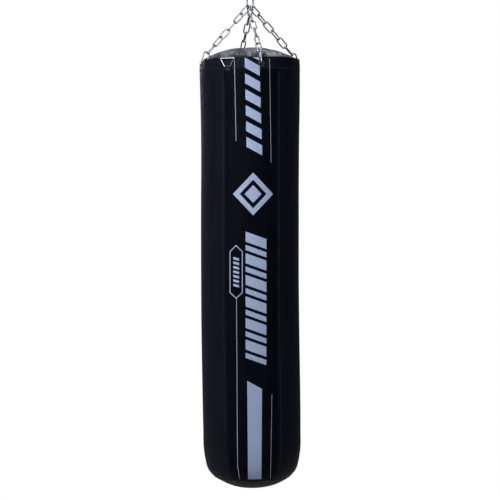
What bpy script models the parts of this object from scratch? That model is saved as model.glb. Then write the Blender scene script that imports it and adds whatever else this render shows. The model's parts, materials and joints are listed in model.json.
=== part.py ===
"""Heavy punching bag: a filled, sewn cylinder hung by four chains from a ring and a snap hook.

The origin is the hang point, the inner top of the upper snap hook, and +Z is up. The printed
front faces -Y. Azimuths are degrees about Z, counted from the front towards +X. Heights on
the bag are depths below its rim. Lengths are metres.
"""
import math

import bmesh
import bpy
from mathutils import Matrix, Vector

GAP = 0.0003                     # running gap between pieces that touch
UP = Vector((0, 0, 1))

# Snap hooks: a pear-shaped wire loop with a sprung gate
HOOK_WIRE = 0.003                # radius
HOOK_LENGTH = 0.054              # between the centre lines of the two ends
HOOK_NARROW = 0.008              # end radii of the centre line
HOOK_WIDE = 0.0105
HOOK_PIN_HEIGHT = 0.020          # gate hinge, above the narrow end
HOOK_PIN_RADIUS = 0.0009
HOOK_PIN_HOLE = 0.0012
GATE_TAB = 0.0020                # thickness of the body's tab, and of the gate's slot for it
GATE_SLOT = 0.0026
TAB_REACH = 0.0026               # ends of the tab above and below the gate's pin
TAB_ROOT = 0.0044
FORK_DEPTH = 0.0040              # bottom of the gate's slot, above the pin
HOOK_CUT = 0.012                 # height of the cutters for the tab and the slot
NOSE_TRIM = 0.0010               # body and gate stop this short of each other at the nose
GATE_TRIM = 0.0016
TOP_HOOK_SCALE = 4 / 3           # the upper hook is the next size up, 8 mm wire

# Ring that carries the four chains on its flat lower bow
RING_WIRE = 0.003
RING_WIDTH = 0.040
RING_HEIGHT = 0.046
RING_CORNER = 0.006
RING_AZIMUTH = 148
SEAT_PITCH = 0.0075              # spacing of the first links on the bow

# Chains
LINK_WIRE = 0.0025
LINK_LENGTH = 0.043              # centre line, end to end
LINK_WIDTH = 0.0185
LINKS = 6
LINK_GAP = 0.0005                # between links, and at the ring and the hooks
FRONT_CHAIN = 13                 # azimuth of the front chain
# name: azimuth, place along the bow in pitches, tilt of the rim hook from vertical, and the
# turns of links 2 to 6 about the chain's line
CHAINS = {
    "front": (FRONT_CHAIN, -0.5, 22.5, (120, 186, 125, 62, 0)),
    "right": (FRONT_CHAIN + 90, 1.5, 19.5, (42, 105, 43, 105, 5)),
    "back": (FRONT_CHAIN + 180, 0.5, 22.5, (118, 181, 119, 60, 0)),
    "left": (FRONT_CHAIN + 270, -1.5, 19.5, (62, 0, 116, 54, -8)),
}

# Bag: depths and outer radii of the shell's profile, and its four panels' seams
RIM_BELOW_BOW = 0.1885
SHELL = (
    (0.0423, 0.1783),
    (0.105, 0.1776),
    (0.247, 0.1752),
    (0.600, 0.1745),
    (1.000, 0.1743),
    (1.312, 0.1732),
    (1.383, 0.1713),
    (1.418, 0.1657),
    (1.440, 0.1605),
    (1.454, 0.1540),
    (1.466, 0.1445),
    (1.478, 0.1325),
)
SHELL_THICKNESS = 0.003
SEAMS = {
    "front": (-30.3, 34.2),
    "right": (34.2, 132.7),
    "back": (132.7, 231.2),
    "left": (231.2, 329.7),
}
SEAM_GAP = 0.0009
BOTTOM_SEAM = (1.4792, 0.1305)
BOTTOM_DEPTH = 1.517

HEM_RADIUS = 0.1788
HEM_DEPTH = 0.042
HEM_THICKNESS = 0.0013
BELT_THICKNESS = 0.0014
HEM_LEAN = 0.0086                # the rim leans in towards the chains by this much
HEM_LEAN_DEPTH = 0.037
EYELET_DEPTH = 0.0238
EYELET_HOLE = 0.0086
EYELET_CUT = 0.03                # length of the cutter for the hem's holes
# Radii and heights of the grommet's section, from the outer flange to the washer inside
GROMMET = (
    (0.0079, 0.0011),
    (0.0115, 0.0011),
    (0.0120, 0.0008),
    (0.0120, 0.0003),
    (0.0080, 0.0003),
    (0.0080, -0.0041),
    (0.0108, -0.0041),
    (0.0108, -0.0047),
    (0.0096, -0.0052),
    (0.0077, -0.0052),
    (0.0070, -0.0046),
    (0.0070, 0.0005),
)
HOOK_SEAT = (-0.0020, 0.0014)    # hook's end in the eyelet: along its bore and up it

# Top cover: a dome, then a gutter of (radius, depth) points down to its seam under the hem
DOME_HEIGHT = 0.043
DOME_RADIUS = 0.357
DOME_EDGE = 0.1385
GUTTER = (
    (0.1415, -0.009),
    (0.1460, 0.000),
    (0.1535, 0.010),
    (0.1575, 0.028),
    (0.1610, 0.040),
    (0.1665, 0.0455),
    (0.1745, 0.0465),
)
COVER_THICKNESS = 0.002

FOAM = (0.1500, 0.1680, 0.052, 1.330)      # inner and outer radius, top and bottom depth
FILLING_GAP = 0.0025
FILLING_SIDE = ((0.1475, 0.012), (0.149, 1.430), (0.135, 1.462), (0.100, 1.483), (0.0, 1.500))

ZIP_OFFSET = 0.050               # the zip runs across the dome, behind its centre
ZIP_HALF_ANGLE = 17.7
TAPE_WIDTH = 0.026
TAPE_HEIGHTS = (0.0007, 0.0017)  # underside and top of the strips, above the dome
TEETH_HEIGHTS = (0.0020, 0.0034)
TEETH_WIDTH = 0.006
SLIDER_SIZE = (0.014, 0.010, 0.0022)
SLIDER_HEIGHT = 0.0044           # underside above the dome
SLIDER_ANGLE = -15.2
BRIDGE_WIRE = 0.0009             # arch on the slider that holds the pull
BRIDGE_HALF_SPAN = 0.004
BRIDGE_RISE = 0.0032
BRIDGE_ROOT = 0.0006
PULL_HINGE = 0.00115             # pull's wire under the arch, above the slider
PULL_WIRE = 0.0008
PULL_SIZE = (0.026, 0.008)

CARRY_AZIMUTH = -25.6
CARRY_WIRE = 0.00175
CARRY_DEPTH = 0.0335
CARRY_STAND_OFF = 0.0039         # bottom bar's centre, out from the hem
CARRY_BASE = 0.021
CARRY_TOP = 0.053
CARRY_HEIGHT = 0.0285
CARRY_BEND = 0.002               # length cut from each side of a corner
CARRY_SPLIT = (0.0022, 0.0010)   # where the wire's ends meet on the top bar, and their gap
LOOP_SLACK = 0.00035
LOOP_WIDTH = 0.016
LOOP_THICKNESS = 0.0013
LOOP_TAIL = 0.014

TOP_HOOK_BASE = TOP_HOOK_SCALE * (HOOK_WIRE - HOOK_LENGTH)
RING_TOP = TOP_HOOK_BASE + TOP_HOOK_SCALE * HOOK_WIRE + RING_WIRE + GAP
BOW_Z = RING_TOP - RING_HEIGHT
RIM_Z = BOW_Z - RIM_BELOW_BOW
DOME_CENTRE = Vector((0, 0, RIM_Z + DOME_HEIGHT - DOME_RADIUS))

ZINC = ("zinc", (0.62, 0.64, 0.67), 0.28, 1.0)
CHROME = ("chrome", (0.78, 0.79, 0.81), 0.15, 1.0)
BLACKED = ("black_metal", (0.02, 0.02, 0.022), 0.35, 0.0)
BLACK_VINYL = ("black_vinyl", (0.012, 0.013, 0.016), 0.45, 0.0)
NAVY_VINYL = ("navy_vinyl", (0.006, 0.008, 0.018), 0.4, 0.0)
GREY_VINYL = ("grey_vinyl", (0.16, 0.165, 0.18), 0.35, 0.0)
WEBBING = ("webbing", (0.05, 0.045, 0.04), 0.9, 0.0)
FOAM_GREY = ("foam", (0.3, 0.3, 0.31), 0.9, 0.0)
TEXTILE = ("textile_filling", (0.4, 0.37, 0.34), 1.0, 0.0)

parts = None
cutters = None


def start_scene():
    """Empty the scene and make the collections for the parts and for the cutters."""
    global parts, cutters
    for old in list(bpy.data.objects):
        bpy.data.objects.remove(old)
    parts = bpy.data.collections.new("heavy_punching_bag")
    cutters = bpy.data.collections.new("cutters")
    bpy.context.scene.collection.children.link(parts)
    bpy.context.scene.collection.children.link(cutters)


def outward(azimuth):
    angle = math.radians(azimuth)
    return Vector((math.sin(angle), -math.cos(angle), 0))


def sideways(azimuth):
    angle = math.radians(azimuth)
    return Vector((math.cos(angle), math.sin(angle), 0))


def frame(origin, x_axis, z_axis):
    """Matrix that puts local X and Z along two perpendicular directions."""
    x_axis = x_axis.normalized()
    z_axis = z_axis.normalized()
    y_axis = z_axis.cross(x_axis)
    turn = Matrix((x_axis, y_axis, z_axis)).transposed().to_4x4()
    return Matrix.Translation(origin) @ turn


def material(spec):
    name, colour, roughness, metallic = spec
    if name in bpy.data.materials:
        return bpy.data.materials[name]
    made = bpy.data.materials.new(name)
    made.use_nodes = True
    shader = made.node_tree.nodes["Principled BSDF"]
    shader.inputs["Base Color"].default_value = (*colour, 1)
    shader.inputs["Roughness"].default_value = roughness
    shader.inputs["Metallic"].default_value = metallic
    return made


def add(name, data, spec, matrix=None, parent=None):
    """Make a named part from its mesh or curve, in its place and under its parent empty."""
    made = bpy.data.objects.new(name, data)
    parts.objects.link(made)
    if not data.materials:
        data.materials.append(material(spec))
    if parent:
        made.parent = parent
        made.matrix_parent_inverse = parent.matrix_world.inverted()
    made.matrix_basis = matrix or Matrix.Identity(4)
    return made


def pivot(name, place):
    made = bpy.data.objects.new(name, None)
    parts.objects.link(made)
    made.location = place
    bpy.context.view_layer.update()
    return made


def path_curve(name, points, radius, closed, resolution=1):
    """Wire along a list of points, with filled ends where it is open."""
    curve = bpy.data.curves.new(name, "CURVE")
    curve.dimensions = "3D"
    curve.bevel_depth = radius
    curve.bevel_resolution = resolution
    curve.use_fill_caps = True
    spline = curve.splines.new("POLY")
    spline.points.add(len(points) - 1)
    for point, place in zip(spline.points, points):
        point.co = (*place, 1)
    spline.use_cyclic_u = closed
    return curve


def outline_curve(name, outlines, half_width):
    """Flat closed outlines in local XY, extruded both ways along Z; inner ones are holes."""
    curve = bpy.data.curves.new(name, "CURVE")
    curve.dimensions = "2D"
    curve.fill_mode = "BOTH"
    curve.extrude = half_width
    for outline in outlines:
        spline = curve.splines.new("POLY")
        spline.points.add(len(outline) - 1)
        for point, (x, y) in zip(spline.points, outline):
            point.co = (x, y, 0, 1)
        spline.use_cyclic_u = True
    return curve


def turned(name, profile, steps, sweep=360, closed=False, thickness=0):
    """Object with a profile of (radius, z) points turned about Z, and a wall if it is open."""
    mesh = bpy.data.meshes.new(name)
    edges = [(i, i + 1) for i in range(len(profile) - 1)]
    if closed:
        edges.append((len(profile) - 1, 0))
    mesh.from_pydata([(radius, 0, z) for radius, z in profile], edges, [])
    made = bpy.data.objects.new(name, mesh)
    bpy.context.scene.collection.objects.link(made)
    screw = made.modifiers.new("turn", "SCREW")
    screw.angle = math.radians(sweep)
    screw.steps = steps
    screw.render_steps = steps
    screw.use_merge_vertices = True
    screw.merge_threshold = 0.00001
    if thickness:
        wall = made.modifiers.new("wall", "SOLIDIFY")
        wall.thickness = thickness
        wall.offset = -1
        wall.use_even_offset = True
    return made


def baked(source):
    """Mesh of a curve or of an object with modifiers; the object itself is removed."""
    bpy.context.view_layer.update()
    graph = bpy.context.evaluated_depsgraph_get()
    mesh = bpy.data.meshes.new_from_object(source.evaluated_get(graph))
    mesh.name = source.name
    bpy.data.objects.remove(source)
    shape = bmesh.new()
    shape.from_mesh(mesh)
    bmesh.ops.remove_doubles(shape, verts=shape.verts, dist=0.000001)
    shape.to_mesh(mesh)
    shape.free()
    mesh.shade_smooth()
    mesh.set_sharp_from_angle(angle=math.radians(40))
    return mesh


def baked_curve(curve):
    holder = bpy.data.objects.new(curve.name, curve)
    bpy.context.scene.collection.objects.link(holder)
    return baked(holder)


def cutter(name, mesh, matrix=None):
    made = bpy.data.objects.new(name, mesh)
    cutters.objects.link(made)
    made.matrix_basis = matrix or Matrix.Identity(4)
    made.hide_render = True
    made.display_type = "WIRE"
    return made


def box_mesh(name, size):
    mesh = bpy.data.meshes.new(name)
    shape = bmesh.new()
    bmesh.ops.create_cube(shape, size=1)
    bmesh.ops.scale(shape, vec=Vector(size), verts=shape.verts)
    shape.to_mesh(mesh)
    shape.free()
    return mesh


def rod_mesh(name, radius, length, sides):
    """Closed cylinder along local Y."""
    mesh = bpy.data.meshes.new(name)
    shape = bmesh.new()
    turn = Matrix.Rotation(math.radians(90), 4, "X")
    bmesh.ops.create_cone(shape, cap_ends=True, segments=sides, radius1=radius, radius2=radius,
                          depth=length, matrix=turn)
    shape.to_mesh(mesh)
    shape.free()
    mesh.shade_smooth()
    mesh.set_sharp_from_angle(angle=math.radians(40))
    return mesh


def combine(target, tools, operation):
    """Add Boolean modifiers to an object, one for each tool."""
    for tool in tools:
        step = target.modifiers.new(tool.name, "BOOLEAN")
        step.operation = operation
        step.object = tool


def on_circle(centre, radius, angle):
    turn = math.radians(angle)
    return centre[0] + radius * math.cos(turn), centre[1] + radius * math.sin(turn)


def arc(centre, radius, start, end, steps):
    """Points (x, z) on an arc, from one angle in degrees to another."""
    angles = [start + (end - start) * i / steps for i in range(steps + 1)]
    return [on_circle(centre, radius, angle) for angle in angles]


def in_plane(points):
    return [(x, 0, z) for x, z in points]


def loop_points(length, width, steps):
    """Long round-ended loop in the XZ plane, centred on the origin."""
    radius = width / 2
    reach = length / 2 - radius
    return in_plane(arc((0, reach), radius, 0, 180, steps) + arc((0, -reach), radius, 180, 360, steps))


def hook_geometry(scale):
    """Points of a snap hook of one size, in its own XZ plane, from the narrow end up."""
    narrow = HOOK_NARROW * scale
    wide = HOOK_WIDE * scale
    length = HOOK_LENGTH * scale
    lean = math.degrees(math.asin((wide - narrow) / (length - narrow - wide)))
    low = (0, narrow)
    high = (0, length - wide)
    ends = in_plane([on_circle(low, narrow, -lean), on_circle(high, wide, -lean)])
    leg_foot, nose = [Vector(end) for end in ends]
    along = (nose - leg_foot).normalized()
    pin = leg_foot + along * ((HOOK_PIN_HEIGHT * scale - leg_foot.z) / along.z)
    return low, high, lean, nose, along, pin


def placed(mesh):
    """Object with this mesh, so that Boolean cuts can be added to it."""
    made = bpy.data.objects.new(mesh.name, mesh)
    bpy.context.scene.collection.objects.link(made)
    return made


def hook_cutters(name, scale, across):
    """Cutters in the frame of the gate's pin: two beside the tab, the fork's slot and the hole."""
    wire = HOOK_WIRE * scale
    reach = 4 * wire
    height = HOOK_CUT * scale
    hole = cutter(name + "_hole", rod_mesh(name + "_hole", HOOK_PIN_HOLE * scale, reach, 12), across)
    cheeks = []
    for side in (-1, 1):
        place = Vector((0, side * (GATE_TAB * scale / 2 + wire), height / 2 - TAB_ROOT * scale))
        mesh = box_mesh(name + "_cheek", (reach, 2 * wire, height))
        cheeks.append(cutter(f"{name}_cheek_{side}", mesh, across @ Matrix.Translation(place)))
    place = Vector((0, 0, FORK_DEPTH * scale - height / 2))
    mesh = box_mesh(name + "_slot", (reach, GATE_SLOT * scale, height))
    slot = cutter(name + "_slot", mesh, across @ Matrix.Translation(place))
    return cheeks, slot, hole


def snap_hook_meshes(name, scale):
    """Body, gate and pin of a snap hook; the gate's mesh has its origin on its hinge."""
    low, high, lean, nose, along, pin = hook_geometry(scale)
    wire = HOOK_WIRE * scale
    across = frame(pin, Vector((along.z, 0, -along.x)), along)
    cheeks, slot, hole = hook_cutters(name, scale, across)

    points = [pin + along * TAB_REACH * scale, pin - along * TAB_ROOT * scale]
    points += in_plane(arc(low, HOOK_NARROW * scale, -lean, -180 + lean, 8))
    points += in_plane(arc(high, HOOK_WIDE * scale, 180 + lean, -lean, 8))
    points.append(nose - along * NOSE_TRIM * scale)
    body = placed(baked_curve(path_curve(name + "_body", points, wire, False, 2)))
    combine(body, cheeks + [hole], "DIFFERENCE")
    body_mesh = baked(body)

    gate_ends = [pin - along * wire, nose - along * GATE_TRIM * scale]
    gate = placed(baked_curve(path_curve(name + "_gate", gate_ends, wire, False, 2)))
    combine(gate, [slot, hole], "DIFFERENCE")
    gate_mesh = baked(gate)
    gate_mesh.transform(Matrix.Translation(-pin))

    pin_mesh = rod_mesh(name + "_pin", HOOK_PIN_RADIUS * scale, 2.2 * wire, 12)
    return body_mesh, gate_mesh, pin_mesh, pin


def add_snap_hook(name, meshes, place, spec, parent):
    """Body, gate and gate pin of one hook, under an empty at its narrow end."""
    body_mesh, gate_mesh, pin_mesh, pin = meshes
    hook = pivot(name + "_pivot", place.translation)
    if parent:
        hook.parent = parent
        hook.matrix_parent_inverse = parent.matrix_world.inverted()
        bpy.context.view_layer.update()
    add(name + "_body", body_mesh, spec, place, hook)
    add(name + "_gate", gate_mesh, spec, place @ Matrix.Translation(pin), hook)
    add(name + "_pin", pin_mesh, spec, place @ Matrix.Translation(pin), hook)


def make_ring():
    """D-shaped ring: round on top for the hook, flat below for the four chains."""
    half = RING_WIDTH / 2
    top = RING_TOP - TOP_HOOK_BASE
    bow = top - RING_HEIGHT
    flat = half - RING_CORNER
    points = arc((0, top - half), half, 0, 180, 12)
    points += arc((-flat, bow + RING_CORNER), RING_CORNER, 180, 270, 4)
    points += arc((flat, bow + RING_CORNER), RING_CORNER, 270, 360, 4)
    place = frame(Vector((0, 0, TOP_HOOK_BASE)), outward(RING_AZIMUTH), UP)
    add("hanging_ring", path_curve("hanging_ring", in_plane(points), RING_WIRE, True, 2), ZINC, place)


def hem_lean(depth):
    return HEM_LEAN * max(0, 1 - depth / HEM_LEAN_DEPTH)


def rim_point(azimuth, depth, stand_off=0.0):
    """Point on the hem's outer face, or out from it."""
    return outward(azimuth) * (HEM_RADIUS - hem_lean(depth) + stand_off) + UP * (RIM_Z - depth)


def eyelet_frame(azimuth):
    """Local Z runs out of the eyelet, square to the leaning hem, and X runs up it."""
    slope = math.atan2(HEM_LEAN, HEM_LEAN_DEPTH)
    out = outward(azimuth) * math.cos(slope) + UP * math.sin(slope)
    up = UP * math.cos(slope) - outward(azimuth) * math.sin(slope)
    return frame(rim_point(azimuth, EYELET_DEPTH), up, out)


def hook_frame(azimuth, tilt):
    """Narrow end in the eyelet, wide end above the rim, tilted in towards the chains."""
    along_bore, up_bore = HOOK_SEAT
    seat = eyelet_frame(azimuth) @ Vector((up_bore, 0, along_bore))
    lean = math.radians(tilt)
    up = UP * math.cos(lean) - outward(azimuth) * math.sin(lean)
    out = outward(azimuth) * math.cos(lean) + UP * math.sin(lean)
    return frame(seat, out, up)


def chain_ends(azimuth, seat, tilt):
    """Centre lines of the first link's upper end and of the last link's lower end."""
    bow_along = outward(RING_AZIMUTH)
    bow = bow_along * seat * SEAT_PITCH + UP * BOW_Z
    wide_centre = hook_frame(azimuth, tilt) @ Vector((0, 0, HOOK_LENGTH - HOOK_WIDE))
    start = bow
    end = wide_centre
    for _ in range(4):
        pull = (start - wide_centre).normalized()
        end = wide_centre + pull * (HOOK_WIDE - HOOK_WIRE - LINK_WIRE - LINK_GAP)
        line = (end - start).normalized()
        press = (line - bow_along * line.dot(bow_along)).normalized()
        start = bow - press * (RING_WIRE + LINK_WIRE + LINK_GAP)
    return start, end


def make_chain(name, bag, link_curve):
    """Six links from the ring's bow to the rim hook, each turned about the chain's line."""
    azimuth, seat, tilt, turns = CHAINS[name]
    start, end = chain_ends(azimuth, seat, tilt)
    line = (end - start).normalized()
    pitch = ((end - start).length - LINK_LENGTH) / (LINKS - 1)
    flat = (sideways(azimuth) - line * line.dot(sideways(azimuth))).normalized()
    bow_along = outward(RING_AZIMUTH)
    first_width = line.cross(bow_along).normalized()
    widths = [first_width]
    for turn in turns:
        widths.append(Matrix.Rotation(math.radians(turn), 3, line) @ flat)
    for index, width in enumerate(widths):
        centre = start + line * (LINK_LENGTH / 2 + pitch * index)
        add(f"{name}_link_{index + 1}", link_curve, ZINC, frame(centre, width, -line), bag)


def make_panels(bag):
    """Four shell panels between the vertical seams, each a wall of the turned profile."""
    seam_gap = math.degrees(SEAM_GAP / HEM_RADIUS)
    profile = [(radius, RIM_Z - depth) for depth, radius in SHELL]
    for name, (start, end) in SEAMS.items():
        spec = NAVY_VINYL if name == "front" else BLACK_VINYL
        sweep = end - start - seam_gap
        panel = turned(name + "_panel", profile, math.ceil(sweep / 9), sweep, thickness=SHELL_THICKNESS)
        mesh = baked(panel)
        turn = Matrix.Rotation(math.radians(start + seam_gap / 2 - 90), 4, "Z")
        add(f"shell_{name}_panel", mesh, spec, turn, bag)


def make_bottom(bag):
    """Round bottom disc, sagging as a shallow dome."""
    seam_depth, seam_radius = BOTTOM_SEAM
    sag = BOTTOM_DEPTH - seam_depth
    radius = (seam_radius ** 2 + sag ** 2) / (2 * sag)
    half_angle = math.asin(seam_radius / radius)
    centre = RIM_Z - BOTTOM_DEPTH + radius
    angles = [half_angle * (1 - i / 4) for i in range(5)]
    profile = [(radius * math.sin(a), centre - radius * math.cos(a)) for a in angles]
    disc = turned("bottom_disc", profile, 24, thickness=SHELL_THICKNESS)
    add("bottom_disc", baked(disc), BLACK_VINYL, None, bag)


def dome_profile(radius, edge):
    """Points (radius, z) from the dome's top out to its edge."""
    angles = [math.asin(edge / radius) * i / 4 for i in range(5)]
    return [(radius * math.sin(a), DOME_CENTRE.z + radius * math.cos(a)) for a in angles]


def make_cover(bag):
    """Domed top cover that drops into a gutter and is sewn in under the hem."""
    profile = dome_profile(DOME_RADIUS, DOME_EDGE)
    profile += [(radius, RIM_Z - depth) for radius, depth in GUTTER]
    cover = turned("top_cover", profile, 24, thickness=COVER_THICKNESS)
    add("top_cover", baked(cover), GREY_VINYL, None, bag)


def make_hem(bag):
    """Hem and its belt: two bands round the rim, leaning in at the hooks, with eyelet holes."""
    holes = []
    for name, (azimuth, *_) in CHAINS.items():
        upright = eyelet_frame(azimuth) @ Matrix.Rotation(math.radians(90), 4, "X")
        mesh = rod_mesh(name + "_hole", EYELET_HOLE, EYELET_CUT, 16)
        holes.append(cutter(name + "_hole", mesh, upright))
    depths = (0, HEM_LEAN_DEPTH, HEM_DEPTH)
    belt_inset = HEM_THICKNESS + GAP
    for name, inset, thickness, spec in (("hem_band", 0, HEM_THICKNESS, BLACK_VINYL),
                                         ("hem_belt", belt_inset, BELT_THICKNESS, WEBBING)):
        face = [(HEM_RADIUS - inset - hem_lean(depth), RIM_Z - depth) for depth in depths]
        back = [(radius - thickness, z) for radius, z in reversed(face)]
        band = add(name, baked(turned(name, face + back, 36, closed=True)), spec, None, bag)
        combine(band, holes, "DIFFERENCE")


def make_eyelets(bag):
    """Grommet through the hem at each hook, crimped over its washer inside."""
    mesh = baked(turned("eyelet", GROMMET, 12, closed=True))
    for name, (azimuth, *_) in CHAINS.items():
        add(name + "_eyelet", mesh, BLACKED, eyelet_frame(azimuth), bag)


def make_inside(bag):
    """Foam lining against the shell and the packed textile filling."""
    inner, outer, top, bottom = FOAM
    profile = [(radius, RIM_Z - depth) for radius, depth in
               ((outer, top), (outer, bottom), (inner, bottom), (inner, top))]
    foam = turned("foam_lining", profile, 24, closed=True)
    add("foam_lining", baked(foam), FOAM_GREY, None, bag)
    profile = dome_profile(DOME_RADIUS - FILLING_GAP, DOME_EDGE - FILLING_GAP)
    profile += [(radius, RIM_Z - depth) for radius, depth in FILLING_SIDE]
    add("filling", baked(turned("filling", profile, 24)), TEXTILE, None, bag)


def zip_frame(angle):
    """Frame about the dome's centre line: local Z runs back along the zip's axis."""
    turn = math.radians(angle)
    up = Vector((math.sin(turn), 0, math.cos(turn)))
    return frame(DOME_CENTRE, up, Vector((0, 1, 0)))


def zip_strip(name, width, heights):
    """Strip that follows the dome along the zip, between two heights above its surface."""
    low, high = heights
    edges = (ZIP_OFFSET - width / 2, ZIP_OFFSET + width / 2)
    near, far = [math.sqrt(DOME_RADIUS ** 2 - edge ** 2) for edge in edges]
    profile = [(near + high, edges[0]), (far + high, edges[1])]
    profile += [(far + low, edges[1]), (near + low, edges[0])]
    return capped(baked(turned(name, profile, 12, 2 * ZIP_HALF_ANGLE, closed=True)))


def capped(mesh):
    """Close the open ends of a swept strip."""
    shape = bmesh.new()
    shape.from_mesh(mesh)
    rim = [edge for edge in shape.edges if edge.is_boundary]
    bmesh.ops.holes_fill(shape, edges=rim)
    bmesh.ops.recalc_face_normals(shape, faces=shape.faces)
    shape.to_mesh(mesh)
    shape.free()
    return mesh


def make_zip(bag):
    """Filler opening: tape, teeth, slider and its pull loop."""
    start = zip_frame(-ZIP_HALF_ANGLE)
    add("zip_tape", zip_strip("zip_tape", TAPE_WIDTH, TAPE_HEIGHTS), WEBBING, start, bag)
    add("zip_teeth", zip_strip("zip_teeth", TEETH_WIDTH, TEETH_HEIGHTS), ZINC, start, bag)

    surface = math.sqrt(DOME_RADIUS ** 2 - ZIP_OFFSET ** 2)
    length, width, height = SLIDER_SIZE
    top = surface + SLIDER_HEIGHT + height
    middle = Matrix.Translation((top - height / 2, 0, ZIP_OFFSET))
    base_mesh = box_mesh("zip_slider", (height, length, width))
    base_mesh.transform(middle)
    base = placed(base_mesh)
    root, crown = top - BRIDGE_ROOT, top + BRIDGE_RISE
    near, far = -BRIDGE_HALF_SPAN, BRIDGE_HALF_SPAN
    arch = [(x, y, ZIP_OFFSET) for x, y in ((root, near), (crown, near), (crown, far), (root, far))]
    bridge = cutter("bridge", baked_curve(path_curve("bridge", arch, BRIDGE_WIRE, False)))
    combine(base, [bridge], "UNION")
    place = zip_frame(SLIDER_ANGLE)
    add("zip_slider", baked(base), ZINC, place, bag)

    pull_length, pull_width = PULL_SIZE
    loop = [(0, y + pull_length / 2, x) for x, _, y in loop_points(pull_length, pull_width, 6)]
    hinge = Matrix.Translation((top + PULL_HINGE, 0, ZIP_OFFSET))
    add("zip_pull", path_curve("zip_pull", loop, PULL_WIRE, True), ZINC, place @ hinge, bag)


def make_carry_ring(bag):
    """Trapezoid wire ring in a webbing loop sewn to the hem, wide side up."""
    seat = rim_point(CARRY_AZIMUTH, HEM_DEPTH, CARRY_STAND_OFF) + UP * (HEM_DEPTH - CARRY_DEPTH)
    place = frame(seat, sideways(CARRY_AZIMUTH), UP)
    foot = CARRY_BASE / 2
    head = CARRY_TOP / 2
    top = CARRY_HEIGHT
    slope = Vector((head - foot, top)).normalized() * CARRY_BEND
    split, split_gap = CARRY_SPLIT
    points = [(split + split_gap / 2, top), (head - CARRY_BEND, top), (head - slope.x, top - slope.y)]
    points += [(foot + slope.x, slope.y), (foot - CARRY_BEND, 0)]
    points += [(-foot + CARRY_BEND, 0), (-foot - slope.x, slope.y)]
    points += [(-head + slope.x, top - slope.y), (-head + CARRY_BEND, top), (split - split_gap / 2, top)]
    ring = path_curve("carry_ring", in_plane(points), CARRY_WIRE, False, 2)
    add("carry_ring", ring, CHROME, place, bag)

    inner = CARRY_WIRE + LOOP_SLACK
    outer = inner + LOOP_THICKNESS
    foot_edge = outer / 2
    outline = [(-outer, -LOOP_TAIL), (-foot_edge, -LOOP_TAIL)]
    outline += arc((0, 0), outer, 240, 540, 12)
    hole = arc((0, 0), inner, 0, 330, 11)
    loop_place = frame(place.translation, outward(CARRY_AZIMUTH), -sideways(CARRY_AZIMUTH))
    loop = baked_curve(outline_curve("ring_loop", (outline, hole), LOOP_WIDTH / 2))
    add("ring_loop", loop, WEBBING, loop_place, bag)


def main():
    start_scene()
    top_meshes = snap_hook_meshes("top_hook", TOP_HOOK_SCALE)
    top_place = frame(Vector((0, 0, TOP_HOOK_BASE)), outward(RING_AZIMUTH + 90), UP)
    add_snap_hook("top_hook", top_meshes, top_place, ZINC, None)
    make_ring()

    bag = pivot("bag_pivot", (0, 0, BOW_Z))
    rim_meshes = snap_hook_meshes("rim_hook", 1)
    link_curve = path_curve("chain_link", loop_points(LINK_LENGTH, LINK_WIDTH, 5), LINK_WIRE, True)
    for name, (azimuth, _, tilt, _) in CHAINS.items():
        make_chain(name, bag, link_curve)
        add_snap_hook(name + "_hook", rim_meshes, hook_frame(azimuth, tilt), ZINC, bag)
    make_panels(bag)
    make_bottom(bag)
    make_cover(bag)
    make_hem(bag)
    make_eyelets(bag)
    make_inside(bag)
    make_zip(bag)
    make_carry_ring(bag)


main()
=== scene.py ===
"""Looks of the heavy punching bag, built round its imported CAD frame.

The printed front faces -Y. Azimuths are degrees about Z, counted from the front towards +X.
Places on the bag's front are (across, depth): how far towards +X, and how far below the rim.
Lengths are metres.
"""
import contextlib
import json
import math

import bmesh
import bpy
import numpy as np
from mathutils import Matrix, Vector, noise

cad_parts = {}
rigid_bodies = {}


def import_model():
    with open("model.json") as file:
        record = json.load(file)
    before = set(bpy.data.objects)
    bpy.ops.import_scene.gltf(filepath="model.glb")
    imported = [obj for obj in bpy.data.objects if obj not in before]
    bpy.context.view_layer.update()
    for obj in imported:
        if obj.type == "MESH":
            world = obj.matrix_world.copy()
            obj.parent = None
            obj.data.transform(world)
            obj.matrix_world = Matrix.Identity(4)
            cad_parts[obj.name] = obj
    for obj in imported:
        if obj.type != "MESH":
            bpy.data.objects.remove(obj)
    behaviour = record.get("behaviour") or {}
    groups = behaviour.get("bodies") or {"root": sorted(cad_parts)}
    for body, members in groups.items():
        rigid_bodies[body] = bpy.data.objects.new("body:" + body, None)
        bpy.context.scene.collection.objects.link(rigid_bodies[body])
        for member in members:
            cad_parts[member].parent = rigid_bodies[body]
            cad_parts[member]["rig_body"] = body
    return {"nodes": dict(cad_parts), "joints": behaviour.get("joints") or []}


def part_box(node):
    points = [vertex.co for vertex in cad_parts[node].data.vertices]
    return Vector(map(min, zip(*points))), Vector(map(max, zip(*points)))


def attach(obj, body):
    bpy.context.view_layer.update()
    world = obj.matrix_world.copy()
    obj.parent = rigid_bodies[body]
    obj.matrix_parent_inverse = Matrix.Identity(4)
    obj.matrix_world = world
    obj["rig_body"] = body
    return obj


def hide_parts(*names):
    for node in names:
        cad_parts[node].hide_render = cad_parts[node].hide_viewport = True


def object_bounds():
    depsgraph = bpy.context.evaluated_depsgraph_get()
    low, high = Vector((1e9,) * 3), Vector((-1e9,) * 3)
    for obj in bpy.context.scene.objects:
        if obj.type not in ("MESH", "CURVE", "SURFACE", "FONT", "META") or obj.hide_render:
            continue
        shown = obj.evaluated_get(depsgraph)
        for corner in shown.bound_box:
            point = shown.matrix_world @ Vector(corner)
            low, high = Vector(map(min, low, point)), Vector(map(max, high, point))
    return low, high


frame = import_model()
cad_low, cad_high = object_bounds()

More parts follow.
